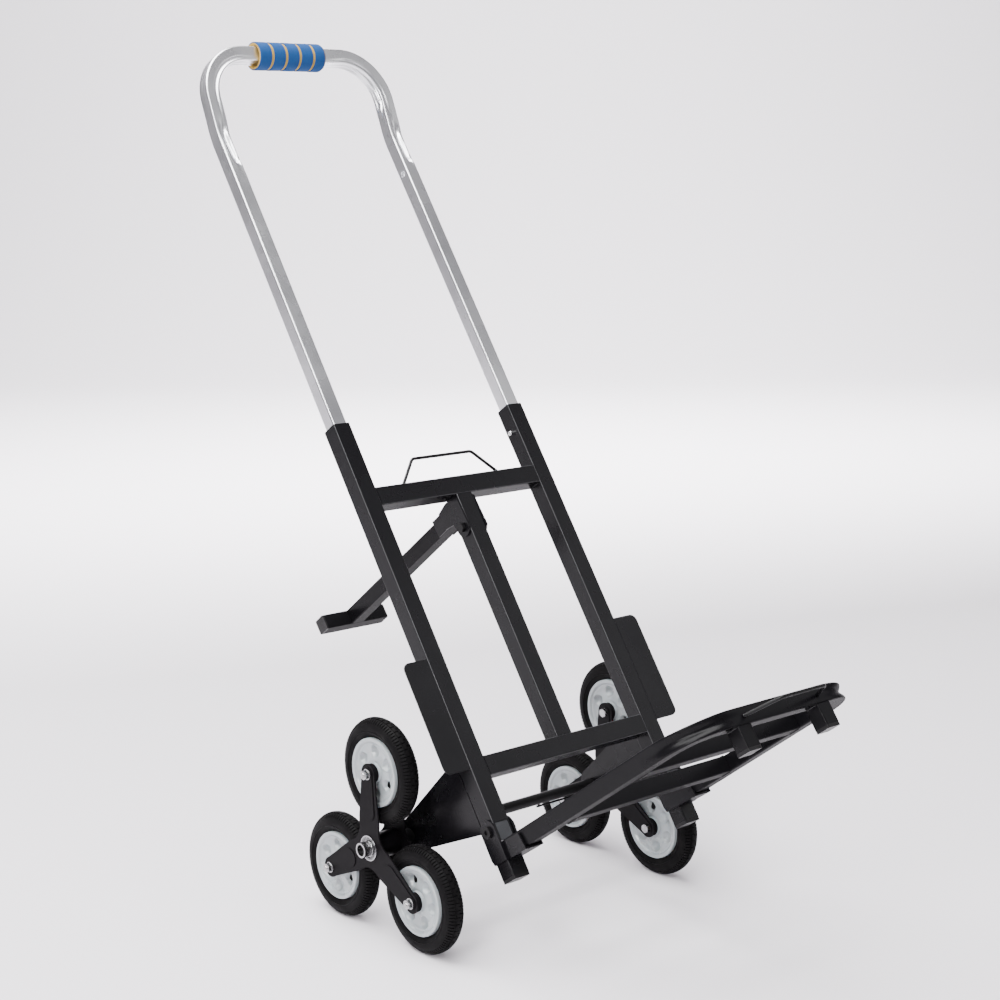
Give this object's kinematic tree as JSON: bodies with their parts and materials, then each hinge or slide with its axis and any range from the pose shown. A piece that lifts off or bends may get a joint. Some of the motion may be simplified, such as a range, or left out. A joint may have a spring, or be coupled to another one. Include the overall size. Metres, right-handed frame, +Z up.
{
  "type": "stair climbing trolley",
  "caption": "Leaning tube frame trolley with telescopic handle, folding toe frame, folding rear prop and rotating three-wheel clusters for climbing stairs.",
  "frame": {"origin": "on the floor under the middle of the resting trolley", "axes": "+Z up, +X along the axle, toe frame towards -Y, handle towards +Y"},
  "size_m": [0.56, 1.1571, 1.3241],
  "materials": {
    "frame_paint": "satin black powder coat",
    "cluster_paint": "satin black powder coat",
    "zinc": "zinc plated fasteners",
    "bright_steel": "bright turned steel",
    "bearing_steel": "ground steel",
    "axle_black": "black oxide",
    "wire_black": "semi gloss black",
    "aluminium": "anodised extruded tube",
    "grip_blue": "foam rubber",
    "grip_core": "foam rubber",
    "button_steel": "polished",
    "cap_plastic": "moulded",
    "plug_plastic": "moulded nylon",
    "tyre": "block tread",
    "rim": "moulded, slightly rough"
  },
  "bodies": {
    "frame": {"side_tube_left": "frame_paint", "side_tube_right": "frame_paint", "upper_crossbar": "frame_paint", "lower_crossbar": "frame_paint", "centre_tube": "frame_paint", "fender_left": "frame_paint", "fender_right": "frame_paint", "gusset_left": "frame_paint", "gusset_right": "frame_paint", "axle": "axle_black", "axle_end_sleeves": "bright_steel", "hub_spacers": "axle_black", "upper_bail": "wire_black", "axle_hook": "wire_black", "pivot_plugs": "plug_plastic", "toe_pivot_bolts": "axle_black", "prop_pivot_bolt": "zinc"},
    "handle": {"handle_tube": "aluminium", "handle_end_plugs": "cap_plastic", "grip_sleeve": "grip_blue", "grip_core": "grip_core"},
    "lock_button_left": {"button_left": "button_steel"},
    "lock_button_right": {"button_right": "button_steel"},
    "prop": {"prop_bracket": "frame_paint", "prop_arm": "frame_paint", "prop_foot_caps": "cap_plastic"},
    "toe": {"toe_frame": "frame_paint", "toe_crossbars": "frame_paint", "toe_feet": "frame_paint", "toe_foot_caps": "cap_plastic", "heel_bracket_left": "frame_paint", "heel_bracket_right": "frame_paint", "heel_feet": "frame_paint", "heel_foot_caps": "cap_plastic", "toe_bail": "wire_black"},
    "cluster_left": {"spider_outer_left": "cluster_paint", "spider_inner_left": "cluster_paint", "hub_tube_left": "bright_steel", "hub_bearings_left": "bearing_steel", "wheel_bolts_left": "zinc", "wheel_sleeves_left": "bearing_steel"},
    "wheel_left_top": {"tyre_left_top": "tyre", "rim_left_top": "rim"},
    "wheel_left_front": {"tyre_left_front": "tyre", "rim_left_front": "rim"},
    "wheel_left_back": {"tyre_left_back": "tyre", "rim_left_back": "rim"},
    "cluster_right": {"spider_outer_right": "cluster_paint", "spider_inner_right": "cluster_paint", "hub_tube_right": "bright_steel", "hub_bearings_right": "bearing_steel", "wheel_bolts_right": "zinc", "wheel_sleeves_right": "bearing_steel"},
    "wheel_right_top": {"tyre_right_top": "tyre", "rim_right_top": "rim"},
    "wheel_right_front": {"tyre_right_front": "tyre", "rim_right_front": "rim"},
    "wheel_right_back": {"tyre_right_back": "tyre", "rim_right_back": "rim"}
  },
  "joints": [
    {"name": "handle_slide", "type": "slide", "parent": "frame", "child": "handle", "axis": [0, 0.5631, 0.8264], "range_m": [-0.5, 0]},
    {"name": "lock_button_left_press", "type": "slide", "parent": "frame", "child": "lock_button_left", "axis": [-1, 0, 0], "range_m": [0, 0.003], "stiffness_N_per_m": 400, "springref_m": -0.0005},
    {"name": "lock_button_right_press", "type": "slide", "parent": "frame", "child": "lock_button_right", "axis": [1, 0, 0], "range_m": [0, 0.003], "stiffness_N_per_m": 400, "springref_m": -0.0005},
    {"name": "prop_fold", "type": "hinge", "parent": "frame", "child": "prop", "pos_m": [0, 0.09329, 0.5739], "axis": [-1, 0, 0], "range_deg": [0, 86.9]},
    {"name": "toe_fold", "type": "hinge", "parent": "frame", "child": "toe", "pos_m": [0, -0.16547, 0.19237], "axis": [-1, 0, 0], "range_deg": [0, 88.4]},
    {"name": "cluster_left_turn", "type": "hinge", "parent": "frame", "child": "cluster_left", "pos_m": [-0.2395, 0.01945, 0.13655], "axis": [1, 0, 0], "continuous": true},
    {"name": "wheel_left_top_spin", "type": "hinge", "parent": "cluster_left", "child": "wheel_left_top", "pos_m": [-0.2395, 0.01945, 0.24965], "axis": [1, 0, 0], "continuous": true},
    {"name": "wheel_left_front_spin", "type": "hinge", "parent": "cluster_left", "child": "wheel_left_front", "pos_m": [-0.2395, -0.0785, 0.08], "axis": [1, 0, 0], "continuous": true},
    {"name": "wheel_left_back_spin", "type": "hinge", "parent": "cluster_left", "child": "wheel_left_back", "pos_m": [-0.2395, 0.1174, 0.08], "axis": [1, 0, 0], "continuous": true},
    {"name": "cluster_right_turn", "type": "hinge", "parent": "frame", "child": "cluster_right", "pos_m": [0.2395, 0.01945, 0.13655], "axis": [1, 0, 0], "continuous": true},
    {"name": "wheel_right_top_spin", "type": "hinge", "parent": "cluster_right", "child": "wheel_right_top", "pos_m": [0.2395, 0.01945, 0.24965], "axis": [1, 0, 0], "continuous": true},
    {"name": "wheel_right_front_spin", "type": "hinge", "parent": "cluster_right", "child": "wheel_right_front", "pos_m": [0.2395, -0.0785, 0.08], "axis": [1, 0, 0], "continuous": true},
    {"name": "wheel_right_back_spin", "type": "hinge", "parent": "cluster_right", "child": "wheel_right_back", "pos_m": [0.2395, 0.1174, 0.08], "axis": [1, 0, 0], "continuous": true}
  ]
}
